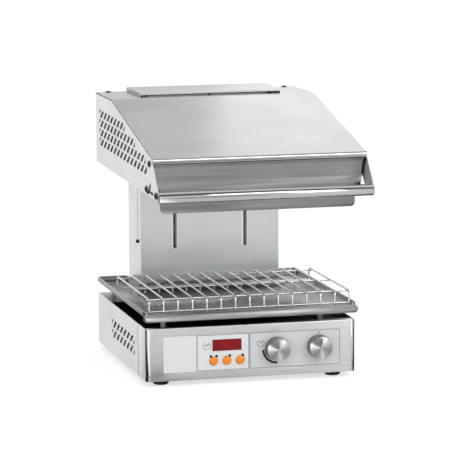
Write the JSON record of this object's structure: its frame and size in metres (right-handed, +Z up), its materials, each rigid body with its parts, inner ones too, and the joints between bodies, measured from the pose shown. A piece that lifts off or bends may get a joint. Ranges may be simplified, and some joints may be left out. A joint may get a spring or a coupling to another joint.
{
  "type": "salamander grill",
  "caption": "Countertop salamander grill: a heated hood slides on a rear column above a wire rack in a drip tray, with knobs, timer window and buttons in the base.",
  "frame": {"origin": "on the worktop, under the middle of the whole appliance", "axes": "+X to the right as seen by the user, -Y towards the user, +Z up"},
  "size_m": [0.407, 0.5476, 0.511],
  "materials": {
    "steel": "brushed",
    "polished_steel": "polished",
    "inner_steel": "satin",
    "black_steel": "matte",
    "pale_plate": "satin",
    "spun_aluminium": "spun",
    "orange_plastic": "gloss",
    "red_window": "gloss",
    "rubber": "matte",
    "circuit_board": "satin",
    "ceramic": "matte",
    "black_plastic": "matte",
    "element_sheath": "oxidised"
  },
  "bodies": {
    "base": {"base_front_panel": "steel", "base_left_side": "steel", "base_right_side": "steel", "base_rear_panel": "steel", "base_floor": "inner_steel", "rear_deck": "steel", "recess_pan": "black_steel", "foot_front_left": "rubber", "foot_front_right": "rubber", "foot_rear_left": "rubber", "foot_rear_right": "rubber", "tray_post_front_left": "polished_steel", "tray_post_front_right": "polished_steel", "tray_post_rear_left": "polished_steel", "tray_post_rear_right": "polished_steel", "badge_plate": "pale_plate", "timer_plate": "pale_plate", "knob_plate": "steel", "display_window": "red_window", "timer_board": "circuit_board", "regulator_body": "ceramic", "switch_body": "black_plastic", "terminal_block": "ceramic", "cable_gland": "black_plastic", "column_casing": "steel", "column_rear_cover": "steel", "column_cap": "steel", "foot_guard": "steel", "guide_rod_left": "polished_steel", "guide_rod_right": "polished_steel", "gas_spring_cylinder": "black_steel", "stop_pin": "black_steel"},
    "left_button": {"left_button": "orange_plastic"},
    "middle_button": {"middle_button": "orange_plastic"},
    "right_button": {"right_button": "orange_plastic"},
    "left_knob": {"left_knob": "spun_aluminium", "left_shaft": "polished_steel"},
    "right_knob": {"right_knob": "spun_aluminium", "right_shaft": "polished_steel"},
    "tray": {"drip_tray": "polished_steel"},
    "rack": {"wire_rack": "polished_steel"},
    "hood": {"hood_left_side": "steel", "hood_right_side": "steel", "top_cover": "steel", "front_shield": "inner_steel", "upper_bar": "polished_steel", "handle_bar": "polished_steel", "hood_inner_back": "inner_steel", "reflector": "inner_steel", "element_holder": "ceramic", "left_element": "element_sheath", "middle_element": "element_sheath", "right_element": "element_sheath", "vent_cowl": "steel", "left_standoff": "polished_steel", "middle_standoff": "polished_steel", "right_standoff": "polished_steel", "lift_carriage": "inner_steel", "gas_spring_rod": "polished_steel"}
  },
  "joints": [
    {"name": "hood_lift", "type": "slide", "parent": "base", "child": "hood", "axis": [0, 0, 1], "range_m": [-0.12, 0]},
    {"name": "tray_pull", "type": "slide", "parent": "base", "child": "tray", "axis": [0, -1, 0], "range_m": [0, 0.25]},
    {"name": "rack_lift", "type": "slide", "parent": "tray", "child": "rack", "axis": [0, 0, 1], "range_m": [0, 0.1]},
    {"name": "left_knob_turn", "type": "hinge", "parent": "base", "child": "left_knob", "pos_m": [0.047, -0.16525, 0.062], "axis": [0, 1, 0], "range_deg": [0, 300]},
    {"name": "right_knob_turn", "type": "hinge", "parent": "base", "child": "right_knob", "pos_m": [0.128, -0.16525, 0.062], "axis": [0, 1, 0], "range_deg": [0, 270]},
    {"name": "left_button_press", "type": "slide", "parent": "base", "child": "left_button", "axis": [0, 1, 0], "range_m": [0, 0.002], "stiffness_N_per_m": 500, "springref_m": -0.001},
    {"name": "middle_button_press", "type": "slide", "parent": "base", "child": "middle_button", "axis": [0, 1, 0], "range_m": [0, 0.002], "stiffness_N_per_m": 500, "springref_m": -0.001},
    {"name": "right_button_press", "type": "slide", "parent": "base", "child": "right_button", "axis": [0, 1, 0], "range_m": [0, 0.002], "stiffness_N_per_m": 500, "springref_m": -0.001}
  ]
}
